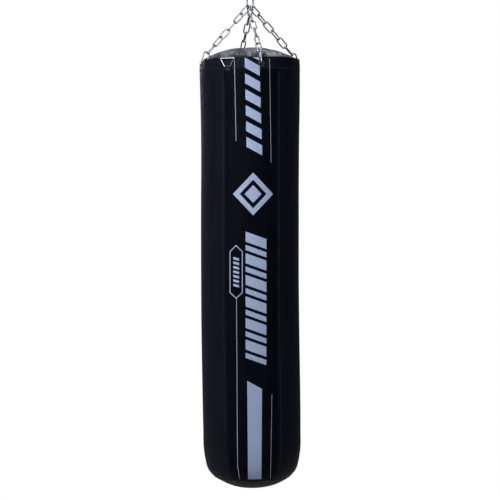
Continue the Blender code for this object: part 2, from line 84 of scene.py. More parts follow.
UP = Vector((0, 0, 1))
Z_TO_Y = Matrix.Rotation(math.radians(90), 4, "X")
JOINTS = {joint["name"]: joint for joint in frame["joints"]}
HOOKED = ("front", "right", "back", "left")

# The bag's skin
HEM_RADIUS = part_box("hem_band")[1].x
RIM_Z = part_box("hem_band")[1].z
HEM_DEPTH = RIM_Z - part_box("hem_band")[0].z
BOTTOM_DEPTH = RIM_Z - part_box("bottom_disc")[0].z
SHELL = (                        # (depth, radius)
    (0.0, 0.1786), (0.0423, 0.1783), (0.105, 0.1776), (0.247, 0.1752), (0.600, 0.1745),
    (1.000, 0.1743), (1.312, 0.1732), (1.383, 0.1713), (1.418, 0.1657), (1.440, 0.1605),
    (1.454, 0.1540), (1.466, 0.1445), (1.478, 0.1325),
)
SHELL_THICKNESS = 0.0026
SEAMS = {
    "front": (-30.3, 34.2),
    "right": (34.2, 132.7),
    "back": (132.7, 231.2),
    "left": (231.2, 329.7),
}
SEAM_FOLD = 0.0022               # depth of the groove at a seam
SEAM_WIDTH = 0.0035
BOTTOM_SEAM = 1.4785
RIM_LEAN = 0.0086                # the hem leans in at the hooks by this much
RIM_LEAN_DEPTH = 0.037
HEM_FULLNESS = 0.0006
RIM_RISE = 0.0035
HANG_DRIFT = 0.0075              # the bag hangs a little to the right towards its foot
DRIFT_START = 0.75
DRIFT_SPAN = 0.70
TOP_DRIFT = -0.0012              # and a little to the left at its top
TOP_DRIFT_DEPTH = 0.25
HOOK_PULL = 4.5                  # degrees each side of a hook that its pull draws in fully
HEM_WALL = 0.0017
BELT_GAP = 0.0003
BELT_THICKNESS = 0.0013
HEM_OVERLAP = 0.007              # how far the panels reach up under the hem
PANEL_TUCK = 0.0016
FOAM_DEPTHS = (0.052, 1.330)
FOAM_FACES = (-0.0042, -0.0200)  # how far inside the skin its two faces lie

# Eyelets
EYELET_FLANGE = 0.0032 * 0.65    # from the eyelet's middle out to the hem's surface
EYELET_HOLE = 0.0087
PRINT_HOLE = 0.0095
GROMMET = (                      # (radius, height out of the hem): the rolled barrel and its washer
    (0.0070, -0.0040), (0.0070, -0.0002), (0.0073, 0.0007), (0.0080, 0.0012), (0.0092, 0.0014),
    (0.0106, 0.0012), (0.0116, 0.0008), (0.0120, 0.0003), (0.0119, 0.0001), (0.0080, 0.0001),
    (0.0079, -0.0042), (0.0108, -0.0042), (0.0108, -0.0047), (0.0096, -0.0052), (0.0077, -0.0051),
)

# Thread; a stitch's sections are (share of its length, width, rise), the last two in its radius
STITCH_LENGTH = 0.0046
STITCH_PITCH = 0.0064
STITCH_RADIUS = 0.00042
STITCH_LIFT = 0.0001
STITCH_SECTIONS = ((0, 0.2, -0.6), (0.15, 0.55, 0.15), (0.5, 1.0, 0.5), (0.85, 0.55, 0.15), (1, 0.2, -0.6))

# Printed ink, in (across, depth) places
INK_LIFT = 0.00035
COLUMNS = 0.005                  # spacing of its mesh across
ROWS = 0.009                     # and down, finer over the bend in the hem
FINE_ROWS = 0.003
PRINTED_LINES = (                # width, then the places it runs through
    (0.0019, (-0.0545, 0.006), (-0.0484, 0.293)),
    (0.0013, (0.0685, 0.006), (0.0735, 0.368)),
    (0.0019, (-0.0469, 0.841), (-0.0440, 1.330), (-0.0427, 1.430), (-0.0360, 1.474)),
    (0.0013, (0.0764, 1.175), (0.0715, 1.473)),
)

# Chain and hooks
LINK_WIRE = 0.0025
LINK_LENGTH = 0.043
LINK_WIDTH = 0.0185
HOOK_WIRE = 0.003
HOOK_LENGTH = 0.054
HOOK_NARROW = 0.008
HOOK_WIDE = 0.0105
HOOK_PIN_HEIGHT = 0.020
HOOK_PIN_RADIUS = 0.0009
RIVET_HEAD = 0.00035
GATE_TAB = 0.0020
GATE_SLOT = 0.0026
TAB_REACH = 0.0026
TAB_ROOT = 0.0044
FORK_DEPTH = 0.0040
HOOK_CUT = 0.012
NOSE_TRIM = 0.0010
GATE_TRIM = 0.0016
TOP_HOOK_SCALE = 4 / 3
RING_WIRE = 0.003
RING_WIDTH = 0.040
RING_HEIGHT = 0.046
RING_CORNER = 0.006

# Top cover, zip and carry ring
DOME_HEIGHT = 0.043
DOME_RADIUS = 0.357
DOME_EDGE = 0.1385
COVER_RISE = 0.0438
COVER_REACH = 0.176
COVER_FULLNESS = 2.05
COVER_THICKNESS = 0.0012
COVER_EDGE = 0.0125              # how far inside the rim its dome ends
MOST_BILLOW = 0.003              # how far the cloth run may move the cover
CLOTH_FRAMES = 20
CLOTH = {
    "vertex_group_mass": "pins", "pin_stiffness": 1.0, "use_pressure": True,
    "uniform_pressure_force": 3.0, "shrink_min": -0.075, "tension_stiffness": 25,
    "compression_stiffness": 25, "bending_stiffness": 0.15,
}
COVER_HEM = ((0.003, 0.0085), (0.009, 0.0062), (0.018, 0.0050), (0.030, 0.0047), (0.040, 0.0047))
DOME_CENTRE = Vector((0, 0, RIM_Z + DOME_HEIGHT - DOME_RADIUS))
GUTTER = (                       # (radius, depth) where the cover dips outside the dome
    (0.1415, -0.009), (0.1460, 0.000), (0.1535, 0.010), (0.1575, 0.028), (0.1610, 0.040),
    (0.1665, 0.0455), (0.1745, 0.0465),
)
ZIP_OFFSET = 0.050
ZIP_HALF_ANGLE = 17.7
SLIDER_ANGLE = -15.2
TAPE_WIDTH = 0.026
TEETH_PITCH = 0.0026
PULL_WIRE = 0.0008
PULL_SIZE = (0.026, 0.008)
CARRY_AZIMUTH = -25.6
CARRY_WIRE = 0.00175
CARRY_BASE = 0.021
CARRY_TOP = 0.053
CARRY_HEIGHT = 0.0285
CARRY_BEND = 0.0022
BEND_STEPS = np.linspace(0, 1, 7)
CARRY_SPLIT = (0.0022, 0.0010)
LOOP_SLACK = 0.00035
LOOP_WIDTH = 0.016
LOOP_THICKNESS = 0.0013
LOOP_TAIL = 0.014


def joint_place(name):
    return Vector(JOINTS[name]["pos_m"])


def outward(azimuth):
    angle = math.radians(azimuth)
    return Vector((math.sin(angle), -math.cos(angle), 0))


def sideways(azimuth):
    angle = math.radians(azimuth)
    return Vector((math.cos(angle), math.sin(angle), 0))


def placement(origin, x_axis, z_axis):
    """Matrix that puts local X and Z along two perpendicular directions."""
    x_axis = x_axis.normalized()
    z_axis = z_axis.normalized()
    turn = Matrix((x_axis, z_axis.cross(x_axis), z_axis)).transposed().to_4x4()
    return Matrix.Translation(origin) @ turn


def nearest_angle(azimuth, others):
    """Degrees from an azimuth to the nearest of the others."""
    return min(abs((azimuth - other + 180) % 360 - 180) for other in others)


def ease(value):
    """Smooth step from 0 to 1."""
    value = min(1.0, max(0.0, value))
    return value * value * (3 - 2 * value)


def hump(distance, width):
    """1 at no distance, falling smoothly to 0 beyond the width."""
    return math.exp(-(distance / width) ** 2)


# Materials

MIX_COLOURS = (6, 7)             # the colour sockets of a Mix node
MIX_RESULT = 2
WAVE_PHASE = 20                  # radians of a Wave node's ridges in a unit of its scale


class Graph:
    """A tree of shader nodes, with short calls to build it."""

    def __init__(self, tree):
        self.nodes = tree.nodes
        self.links = tree.links

    def node(self, kind, *sources, **values):
        """New node with these values, its first inputs fed by the sources."""
        made = self.nodes.new("ShaderNode" + kind)
        for key, value in values.items():
            if hasattr(made, key):
                setattr(made, key, value)
            else:
                made.inputs[key].default_value = value
        for socket, source in zip(made.inputs, sources):
            self.links.new(source, socket)
        return made

    def remap(self, value, *limits):
        """A value moved to another range; limits are the old range's ends and the new one's."""
        made = self.node("MapRange", value)
        for socket, limit in zip(made.inputs[1:], limits):
            socket.default_value = limit
        return made.outputs["Result"]


class Look(Graph):
    """A Principled material with its own colour, roughness and relief."""

    def __init__(self, name, colour, roughness, **settings):
        self.material = bpy.data.materials.new(name)
        self.material.use_nodes = True
        super().__init__(self.material.node_tree)
        self.inputs = self.nodes["Principled BSDF"].inputs
        self.inputs["Base Color"].default_value = (*colour, 1)
        self.inputs["Roughness"].default_value = roughness
        for key, value in settings.items():
            self.inputs[key.replace("_", " ")].default_value = value
        self.place = self.node("TexCoord").outputs["Object"]
        self.surface = None

    def noise(self, size, detail=3, stretch=(1, 1, 1)):
        """Noise with features of this size."""
        spot = self.node("Mapping", self.place, Scale=stretch).outputs["Vector"]
        return self.node("TexNoise", spot, Scale=1 / size, Detail=detail).outputs["Fac"]

    def cells(self, size):
        made = self.node("TexVoronoi", self.place, feature="DISTANCE_TO_EDGE", Scale=1 / size)
        return made.outputs["Distance"]

    def ridges(self, size, direction):
        made = self.node("TexWave", self.place, bands_direction=direction, Scale=1 / (size * WAVE_PHASE))
        return made.outputs["Fac"]

    def vary_colour(self, value, first, second, low=0, high=1):
        """Base colour from the first to the second as a value goes from low to high."""
        mix = self.node("Mix", self.remap(value, low, high, 0, 1), data_type="RGBA")
        for socket, colour in zip(MIX_COLOURS, (first, second)):
            mix.inputs[socket].default_value = (*colour, 1)
        self.links.new(mix.outputs[MIX_RESULT], self.inputs["Base Color"])

    def vary_roughness(self, value, low, high):
        """Roughness between two limits, by noise."""
        self.links.new(self.remap(value, 0.35, 0.65, low, high), self.inputs["Roughness"])

    def bump(self, height, depth, strength):
        """Adds relief of this depth in metres on top of what is there."""
        made = self.node("Bump", Strength=strength, Distance=depth)
        self.links.new(height, made.inputs["Height"])
        if self.surface:
            self.links.new(self.surface, made.inputs["Normal"])
        self.surface = made.outputs["Normal"]
        self.links.new(self.surface, self.inputs["Normal"])


def zinc():
    """Bright zinc plate: dull patches and fine relief."""
    look = Look("zinc_plate", (0.42, 0.44, 0.48), 0.22, Metallic=1.0)
    patches = look.noise(0.006, 4)
    look.vary_colour(patches, (0.46, 0.48, 0.52), (0.24, 0.25, 0.28), 0.35, 0.7)
    look.vary_roughness(look.noise(0.002), 0.14, 0.30)
    look.bump(look.noise(0.0006, 4), 0.00006, 0.5)
    look.bump(patches, 0.0002, 0.3)
    return look.material


def chrome():
    look = Look("chrome_plate", (0.62, 0.62, 0.64), 0.08, Metallic=1.0)
    haze = look.noise(0.004, 4)
    look.vary_colour(haze, (0.64, 0.64, 0.66), (0.45, 0.45, 0.47), 0.4, 0.75)
    look.vary_roughness(haze, 0.06, 0.18)
    look.bump(look.noise(0.0012), 0.00005, 0.4)
    return look.material


def vinyl(name, colour, scuffed, specular):
    """Grained synthetic leather with slow creases and dull scuffs."""
    look = Look(name, colour, 0.50, Specular_IOR_Level=specular)
    look.vary_colour(look.noise(0.05, 6, (1, 1, 0.35)), colour, scuffed, 0.45, 0.75)
    look.vary_roughness(look.noise(0.012, 5), 0.43, 0.59)
    look.bump(look.cells(0.0013), 0.00022, 0.55)
    look.bump(look.noise(0.0005, 3), 0.00008, 0.4)
    look.bump(look.noise(0.03, 4, (1, 1, 0.45)), 0.0022, 0.3)
    return look.material


def blacked():
    """Stove-black metal, rubbed bare in spots."""
    look = Look("blackened_metal", (0.02, 0.02, 0.022), 0.35, Specular_IOR_Level=0.4)
    look.vary_colour(look.noise(0.003, 5), (0.018, 0.018, 0.020), (0.16, 0.16, 0.17), 0.62, 0.70)
    look.vary_roughness(look.noise(0.002), 0.28, 0.45)
    look.bump(look.noise(0.0008, 4), 0.00006, 0.5)
    return look.material


def coated_cloth():
    """Thin glossy coated cloth of the top cover, with broad patches of painted light and shade and fine grain
    over its creases.
    """
    look = Look("coated_cloth", (0.055, 0.058, 0.068), 0.34, Specular_IOR_Level=0.28)
    # painted light and shade: broad random patches, much darker and lighter, stand in for the light over the
    # cover's creases
    painted_light_and_shade = look.noise(0.06, 1.5, (1, 0.45, 1))
    look.vary_colour(painted_light_and_shade, (0.012, 0.014, 0.020), (0.105, 0.113, 0.138), 0.42, 0.57)
    look.vary_roughness(look.noise(0.03, 4), 0.24, 0.42)
    look.bump(look.noise(0.035, 1), 0.004, 0.35)
    look.bump(look.cells(0.0011), 0.00012, 0.45)
    return look.material


def webbing():
    """Plain weave: ridges each way and loose fibres."""
    yarn = 0.0011
    look = Look("webbing_weave", (0.018, 0.017, 0.018), 0.85, Specular_IOR_Level=0.2, Sheen_Weight=0.25)
    look.vary_colour(look.noise(yarn * 6, 5), (0.018, 0.017, 0.018), (0.045, 0.042, 0.040), 0.4, 0.7)
    for axis in "XYZ":
        look.bump(look.ridges(yarn, axis), yarn * 0.3, 0.7)
    look.bump(look.noise(yarn * 0.4), yarn * 0.1, 0.6)
    return look.material


def ink(name, fresh, dull):
    """Screen print: it fills the grain and wears thin in spots; its colour is also painted darker towards the
    foot, as painted shade where less light reaches.
    """
    look = Look(name, fresh, 0.45, Specular_IOR_Level=0.3)
    height = look.node("SeparateXYZ", look.place).outputs["Z"]
    # painted shade: the colour darkens with depth below the rim, from 0.35 m down to 1.45 m, standing in for
    # light falling off down the bag
    painted_shade_towards_foot = look.remap(height, RIM_Z - 0.35, RIM_Z - 1.45, 0, 0.8)
    flecks = look.remap(look.noise(0.004, 6), 0.5, 0.8, 0, 1)
    # the darker of the painted shade and the worn spots
    share = look.node("Math", painted_shade_towards_foot, flecks, operation="MAXIMUM")
    look.vary_colour(share.outputs["Value"], fresh, dull)
    look.vary_roughness(look.noise(0.02, 4), 0.36, 0.5)
    look.bump(look.cells(0.0013), 0.00015, 0.5)
    look.bump(look.noise(0.03, 4, (1, 1, 0.45)), 0.0018, 0.3)
    return look.material


def thread():
    look = Look("black_thread", (0.035, 0.037, 0.042), 0.6, Specular_IOR_Level=0.3, Sheen_Weight=0.2)
    look.vary_colour(look.noise(0.001, 2), (0.035, 0.037, 0.042), (0.021, 0.0222, 0.0252))
    look.bump(look.ridges(0.0005, "DIAGONAL"), 0.0002, 0.6)
    return look.material


def foam():
    look = Look("closed_cell_foam", (0.30, 0.30, 0.31), 0.9)
    look.vary_colour(look.noise(0.01, 4), (0.27, 0.27, 0.28), (0.34, 0.34, 0.35))
    look.bump(look.cells(0.0018), 0.0003, 0.6)
    return look.material


def offcuts():
    look = Look("textile_offcuts", (0.40, 0.37, 0.34), 1.0)
    look.vary_colour(look.noise(0.02, 2), (0.22, 0.24, 0.30), (0.50, 0.44, 0.38))
    look.bump(look.noise(0.015, 5), 0.004, 0.7)
    return look.material


LOOKS = {                        # those of pieces that stand for CAD nodes are named as their slots
    "zinc": zinc(),
    "chrome": chrome(),
    "black_vinyl": vinyl("black_vinyl_grain", (0.0022, 0.0040, 0.0088), (0.0042, 0.0064, 0.0125), 0.09),
    "navy_vinyl": vinyl("navy_vinyl_grain", (0.0004, 0.0013, 0.0040), (0.0012, 0.0024, 0.0060), 0.05),
    "grey_vinyl": coated_cloth(),
    "black_metal": blacked(),
    "webbing": webbing(),
    # each ink's second colour serves both its worn spots and its painted shade towards the foot
    "ink": ink("silver_ink", (0.41, 0.495, 0.69), (0.24, 0.305, 0.44)),
    "line_ink": ink("grey_ink", (0.40, 0.42, 0.46), (0.33, 0.345, 0.38)),
    "thread": thread(),
    "foam": foam(),
    "offcuts": offcuts(),
}


# Meshes

def piece(name, mesh, look, body="bag", node=None, place=None):
    """Object with this mesh that rides on a body and may stand for a CAD node."""
    made = held(name, mesh)
    made.matrix_world = place or Matrix.Identity(4)
    mesh.name = name
    mesh.materials.clear()
    mesh.materials.append(LOOKS[look])
    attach(made, body)
    if node:
        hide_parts(node)
    return made


@contextlib.contextmanager
def edited(mesh):
    """The mesh as a bmesh, written back at the end of the block."""
    shape = bmesh.new()
    shape.from_mesh(mesh)
    yield shape
    shape.to_mesh(mesh)
    shape.free()


def smoothed(mesh, angle=40):
    mesh.shade_smooth()
    mesh.set_sharp_from_angle(angle=math.radians(angle))
    return mesh


def baked(source):
    """Mesh of an object with its modifiers or of a curve object; the object is removed."""
    bpy.context.view_layer.update()
    graph = bpy.context.evaluated_depsgraph_get()
    mesh = bpy.data.meshes.new_from_object(source.evaluated_get(graph))
    bpy.data.objects.remove(source)
    with edited(mesh) as shape:
        bmesh.ops.remove_doubles(shape, verts=shape.verts, dist=0.000001)
        bmesh.ops.recalc_face_normals(shape, faces=shape.faces)
    return smoothed(mesh)


def held(name, data):
    """A plain object in the scene that holds this data."""
    made = bpy.data.objects.new(name, data)
    bpy.context.scene.collection.objects.link(made)
    return made


def walled(mesh, thickness, even=False, finer=0):
    """The mesh with a wall below its surface, subdivided on request."""
    holder = held(mesh.name, mesh)
    wall = holder.modifiers.new("wall", "SOLIDIFY")
    wall.thickness = thickness
    wall.offset = -1
    wall.use_even_offset = even
    if finer:
        smoother = holder.modifiers.new("finer", "SUBSURF")
        smoother.levels = smoother.render_levels = finer
    return baked(holder)


def lattice(rows, wrap=False, wrap_rows=False, thickness=0):
    """Mesh of quads through rows of points, closed across and along on request, or given a wall."""
    points = np.array(rows, float)
    high, wide = points.shape[:2]
    index = np.arange(high * wide).reshape(high, wide)
    faces = []
    for i in range(high if wrap_rows else high - 1):
        for j in range(wide if wrap else wide - 1):
            below = (i + 1) % high
            beside = (j + 1) % wide
            faces.append((index[i, j], index[below, j], index[below, beside], index[i, beside]))
    mesh = bpy.data.meshes.new("lattice")
    mesh.from_pydata(points.reshape(-1, 3).tolist(), [], faces)
    return walled(mesh, thickness, even=True) if thickness else smoothed(mesh)


def turned(profile, steps):
    """Closed profile of (radius, z) points turned about Z."""
    rows = []
    for radius, z in profile:
        angles = np.linspace(0, math.tau, steps, endpoint=False)
        rows.append([(radius * math.cos(a), radius * math.sin(a), z) for a in angles])
    return lattice(rows, wrap=True, wrap_rows=True)


def wire(points, radius, closed=False, sides=20):
    """Round wire along points, with filled ends where it is open."""
    curve = bpy.data.curves.new("wire", "CURVE")
    curve.dimensions = "3D"
    curve.bevel_depth = radius
    curve.bevel_resolution = sides // 4
    curve.use_fill_caps = True
    spline = curve.splines.new("POLY")
    spline.points.add(len(points) - 1)
    for point, co in zip(spline.points, points):
        point.co = (*co, 1)
    spline.use_cyclic_u = closed
    return baked(held("wire", curve))


def arc(centre, radius, start, end, steps):
    """Points (x, 0, z) on an arc, from one angle in degrees to another."""
    angles = np.radians(np.linspace(start, end, steps + 1))
    return [Vector((centre[0] + radius * math.cos(a), 0, centre[1] + radius * math.sin(a))) for a in angles]


def cut(mesh, tools):
    """The mesh with each tool mesh cut from it."""
    target = held("target", mesh)
    helpers = [held("tool", tool) for tool in tools]
    for helper in helpers:
        step = target.modifiers.new("cut", "BOOLEAN")
        step.operation = "DIFFERENCE"
        step.object = helper
    made = baked(target)
    for helper in helpers:
        bpy.data.objects.remove(helper)
    return made


def rod(radius, length, sides=24, place=None):
    """Closed cylinder along local Y."""
    mesh = bpy.data.meshes.new("rod")
    turn = (place or Matrix.Identity(4)) @ Z_TO_Y
    with edited(mesh) as shape:
        bmesh.ops.create_cone(shape, cap_ends=True, segments=sides, radius1=radius, radius2=radius,
                              depth=length, matrix=turn)
    return smoothed(mesh)


def block(size, place, bevel=0.0):
    """Box of this size, its edges rounded on request."""
    mesh = bpy.data.meshes.new("block")
    with edited(mesh) as shape:
        bmesh.ops.create_cube(shape, size=1)
        bmesh.ops.scale(shape, vec=Vector(size), verts=shape.verts)
        if bevel:
            bmesh.ops.bevel(shape, geom=shape.edges[:], offset=bevel, segments=2, affect="EDGES", profile=0.5)
        bmesh.ops.transform(shape, matrix=place, verts=shape.verts)
    return smoothed(mesh)


def joined(meshes):
    """One mesh out of several."""
    made = bpy.data.meshes.new("joined")
    with edited(made) as shape:
        for mesh in meshes:
            shape.from_mesh(mesh)
            bpy.data.meshes.remove(mesh)
    return smoothed(made)


# The bag's skin as a surface

def skin_profile():
    """Depths and radii along the shell's profile, finely spaced on a smooth curve."""
    depths, radii = [np.array(values) for values in zip(*SHELL)]
    steps = np.hypot(np.diff(depths), np.diff(radii))
    length = np.concatenate([[0], np.cumsum(steps)])
    slopes = [np.gradient(values, length) for values in (depths, radii)]
    fine = np.linspace(0, length[-1], 420)
    spans = np.clip(np.searchsorted(length, fine, side="right") - 1, 0, len(length) - 2)
    width = length[spans + 1] - length[spans]
    t = (fine - length[spans]) / width
    share = t ** 2 * (3 - 2 * t)
    curves = []
    for values, slope in zip((depths, radii), slopes):
        bend = t * (1 - t) * ((1 - t) * slope[spans] - t * slope[spans + 1])
        curves.append((1 - share) * values[spans] + share * values[spans + 1] + bend * width)
    return curves


PROFILE = skin_profile()


def profile_radius(depth):
    return np.interp(depth, *PROFILE)


def hang_drift(depth):
    """How far the bag's middle line stands to the right at a depth."""
    at_top = TOP_DRIFT * (1 - ease(depth / TOP_DRIFT_DEPTH))
    return HANG_DRIFT * ease((depth - DRIFT_START) / DRIFT_SPAN) + at_top


def seam_distance(azimuth):
    """Arc length from the nearest vertical seam."""
    nearest = nearest_angle(azimuth, (start for start, _ in SEAMS.values()))
    return math.radians(nearest) * HEM_RADIUS


def unevenness(azimuth, depth):
    """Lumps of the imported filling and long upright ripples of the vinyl."""
    way = outward(azimuth)
    lumps = noise.noise(Vector((way.x * 1.4, way.y * 1.4, depth * 3.2 + 4)))
    ripples = noise.noise(Vector((way.x * 4.5 + 9, way.y * 4.5, depth * 0.9)))
    fine = noise.noise(Vector((way.x * 9, way.y * 9 + 5, depth * 7)))
    settled = ease(depth / 0.12) * ease((BOTTOM_DEPTH - depth) / 0.2)
    return settled * (0.0011 * lumps + 0.0007 * ripples + 0.0003 * fine)


def seam_groove(azimuth, depth):
    away = seam_distance(azimuth)
    pucker = 0.6 + 0.4 * noise.noise(Vector((azimuth, depth * 60, 2)))
    return SEAM_FOLD * hump(away, SEAM_WIDTH) + 0.0007 * pucker * hump(away, 0.013)


def hem_lean(azimuth, depth):
    """How far the rim leans in: most at the hooks, less between them."""
    lean = RIM_LEAN * max(0.0, 1 - depth / RIM_LEAN_DEPTH)
    between = ease((nearest_angle(azimuth, HOOK_AZIMUTHS) - HOOK_PULL) / 10)
    return lean * (1 - 0.86 * between)


def skin(azimuth, depth, lift=0.0):
    """Point on the bag's outer surface, or out from it."""
    radius = profile_radius(depth)
    radius += unevenness(azimuth, depth) - hem_lean(azimuth, depth)
    radius += HEM_FULLNESS * math.sin(math.pi * ease(depth / HEM_DEPTH))
    radius -= seam_groove(azimuth, depth) * ease((depth - HEM_DEPTH) / 0.01)
    ahead = profile_radius(depth + 0.002)
    behind = profile_radius(depth - 0.002)
    slope = math.atan2(behind - ahead, 0.004)
    out = outward(azimuth) * math.cos(slope) - UP * math.sin(slope)
    return outward(azimuth) * radius + Vector((hang_drift(depth), 0, RIM_Z - depth)) + out * lift


def on_front(across, depth, lift=0.0):
    """Point on the skin that shows this far across when the bag is seen from straight in front."""
    radius = profile_radius(depth)
    return skin(math.degrees(math.asin((across - hang_drift(depth)) / radius)), depth, lift)


def node_axes(node):
    """Middle and principal directions of a CAD node, longest first."""
    points = np.array([v.co for v in frame["nodes"][node].data.vertices], float)
    points = np.unique(points.round(6), axis=0)
    middle = points.mean(0)
    _, _, axes = np.linalg.svd(points - middle, full_matrices=False)
    spread = (points - middle) @ axes.T
    middle = middle + ((spread.max(0) + spread.min(0)) / 2) @ axes
    return Vector(middle), [Vector(axis) for axis in axes]


def eyelet_place(name):
    """Frame on the eyelet's bore: local Z runs out of it, at the hem's surface."""
    middle, (_, _, bore) = node_axes(name + "_eyelet")
    if bore.dot(Vector((middle.x, middle.y, 0))) < 0:
        bore = -bore
    up = (UP - bore * bore.z).normalized()
    return placement(middle + bore * EYELET_FLANGE, up, bore)


def hook_azimuth(name):
    seat = joint_place(name + "_hook_turn")
    return math.degrees(math.atan2(seat.x, -seat.y))


HOOK_AZIMUTHS = [hook_azimuth(name) for name in HOOKED]


def azimuth_steps(start, end, step):
    return np.linspace(start, end, max(2, math.ceil((end - start) / step)) + 1)


def make_panels():
    """Four sewn panels, folded in at their seams and tucked under the hem."""
    top = HEM_DEPTH - HEM_OVERLAP
    depths = np.concatenate([[top, top + 0.004], np.arange(HEM_DEPTH + 0.001, 1.40, 0.008),
                             np.linspace(1.40, BOTTOM_SEAM, 22)])
    for name, (start, end) in SEAMS.items():
        edge = math.degrees(0.0004 / HEM_RADIUS)
        inner = azimuth_steps(start + 3, end - 3, 1.6)
        fold = np.array([0, 0.3, 0.7, 1.2, 1.8, 2.4]) + edge
        columns = np.concatenate([start + fold, inner, (end - fold)[::-1]])
        rows = []
        for depth in depths:
            tuck = PANEL_TUCK * (1 - ease((depth - top) / 0.009))
            rows.append([skin(a, depth, -tuck) for a in columns])
        node = f"shell_{name}_panel"
        mesh = lattice(rows, thickness=SHELL_THICKNESS)
        look = "navy_vinyl" if name == "front" else "black_vinyl"
        piece(node + "_sewn", mesh, look, node=node)


def sheet(depths, near, far):
    """Closed section of a sheet between two lifts from the skin."""
    return [(depth, near) for depth in depths] + [(depth, far) for depth in depths[::-1]]


def make_foam():
    """Foam sheet against the inside of the panels."""
    section = sheet(np.linspace(*FOAM_DEPTHS, 30), *FOAM_FACES)
    rows = [[skin(a, depth, lift) for a in np.arange(0, 360, 5)] for depth, lift in section]
    mesh = lattice(rows, wrap=True, wrap_rows=True)
    piece("foam_sheet", mesh, "foam", node="foam_lining")


def make_bottom():
    """Bottom disc, sewn into the panels' turned-in edge, sagging and puckered at its seam."""
    seam_radius = profile_radius(BOTTOM_SEAM) - 0.0006
    sag = BOTTOM_DEPTH - BOTTOM_SEAM
    shift = hang_drift(BOTTOM_SEAM)
    rows = []
    for share in np.linspace(1, 0.02, 26):
        ring = []
        for a in np.radians(np.arange(0, 360, 2.5)):
            drop = sag * (1 - share ** 2.25)
            pucker = hump(1 - share, 0.1) * 0.0011 * math.sin(a * 46)
            lumps = 0.0016 * noise.noise(Vector((math.cos(a) * share * 2.2, math.sin(a) * share * 2.2, 7)))
            low = drop + (pucker - lumps) * ease((1 - share) * 12)
            fold = 0.0022 * hump(1 - share, 0.012)
            ring.append((shift + seam_radius * share * math.sin(a), -seam_radius * share * math.cos(a),
                         RIM_Z - BOTTOM_SEAM - low + fold))
        rows.append(ring)
    mesh = lattice(rows, wrap=True)
    with edited(mesh) as shape:
        last = [e for e in shape.edges if e.is_boundary and e.verts[0].co.z < RIM_Z - BOTTOM_DEPTH + 0.02]
        bmesh.ops.holes_fill(shape, edges=last)
    made = piece("bottom_disc_sewn", walled(mesh, SHELL_THICKNESS), "black_vinyl", node="bottom_disc")


def hem_face(azimuth, depth, lift):
    """Point across the hem's thickness; the rim stands a little higher on the right."""
    rise = RIM_RISE * math.sin(math.radians(azimuth)) * (1 - ease(depth / HEM_DEPTH))
    return skin(azimuth, max(depth, 0.0), lift) + UP * rise


def eyelet_rod(name, radius, length):
    """Cylinder through an eyelet's hole, to cut with."""
    return rod(radius, length, 32, eyelet_place(name) @ Z_TO_Y)


def hem_layer(name, section, look, node):
    """Ring through a closed section of (depth, lift) points, with holes for the eyelets."""
    rows = [[hem_face(a, depth, lift) for a in np.arange(0, 360, 1.5)] for depth, lift in section]
    holes = [eyelet_rod(hook, EYELET_HOLE, 0.03) for hook in HOOKED]
    piece(name, cut(lattice(rows, wrap=True, wrap_rows=True), holes), look, node=node)


def make_hem():
    """Folded hem with a rolled top edge, and the belt inside it."""
    wall = HEM_WALL
    section = [(depth, 0.0) for depth in np.linspace(0.004, HEM_DEPTH - 0.001, 10)]
    section += [(HEM_DEPTH, -wall * 0.35), (HEM_DEPTH, -wall * 0.75)]
    section += [(depth, -wall) for depth in np.linspace(HEM_DEPTH - 0.001, 0.004, 8)]
    section += [(0.0012, -wall + 0.0003), (0.0, -wall / 2), (0.0012, -0.0003)]
    hem_layer("hem_band_folded", section, "black_vinyl", "hem_band")
    near = -wall - BELT_GAP
    belt = sheet(np.linspace(0.003, HEM_DEPTH - 0.002, 8), near, near - BELT_THICKNESS)
    hem_layer("hem_belt_woven", belt, "webbing", "hem_belt")


def make_eyelets():
    """Rolled grommet with its washer."""
    for name in HOOKED:
        mesh = turned(GROMMET, 48)
        piece(name + "_grommet", mesh, "black_metal", "bag", name + "_eyelet", eyelet_place(name))


def assign(node, look):
    """Give a carried-over CAD node its material."""
    materials = frame["nodes"][node].data.materials
    materials.clear()
    materials.append(LOOKS[look])


# Thread

def add_stitch(points, faces, places):
    """Adds a capsule of thread through places of (point, outward normal)."""
    sides = 6
    base = len(points)
    last = (len(places) - 1) * sides
    along = (places[-1][0] - places[0][0]).normalized()
    for (place, normal), (_, width, rise) in zip(places, STITCH_SECTIONS):
        side = along.cross(normal)
        middle = place + normal * STITCH_RADIUS * rise
        for angle in np.arange(sides) * math.tau / sides:
            spoke = side * math.cos(angle) + normal * math.sin(angle)
            points.append(middle + spoke * STITCH_RADIUS * width)
    for ring in range(base, base + last, sides):
        for k in range(sides):
            after = (k + 1) % sides
            faces.append((ring + k, ring + after, ring + sides + after, ring + sides + k))
    faces.append([base + k for k in reversed(range(sides))])
    faces.append([base + last + k for k in range(sides)])


def sew(name, runs):
    """Thread of the bag along runs: a function from a share to (point, outward normal), and a count."""
    points = []
    faces = []
    reach = STITCH_LENGTH / STITCH_PITCH
    for points_at, count in runs:
        for n in range(count):
            shares = [(n + 0.5 + (end - 0.5) * reach) / count for end, _, _ in STITCH_SECTIONS]
            add_stitch(points, faces, [points_at(share) for share in shares])
    mesh = bpy.data.meshes.new(name)
    mesh.from_pydata(points, [], faces)
    with edited(mesh) as shape:
        bmesh.ops.recalc_face_normals(shape, faces=shape.faces)
    piece(name, smoothed(mesh, 60), "thread")


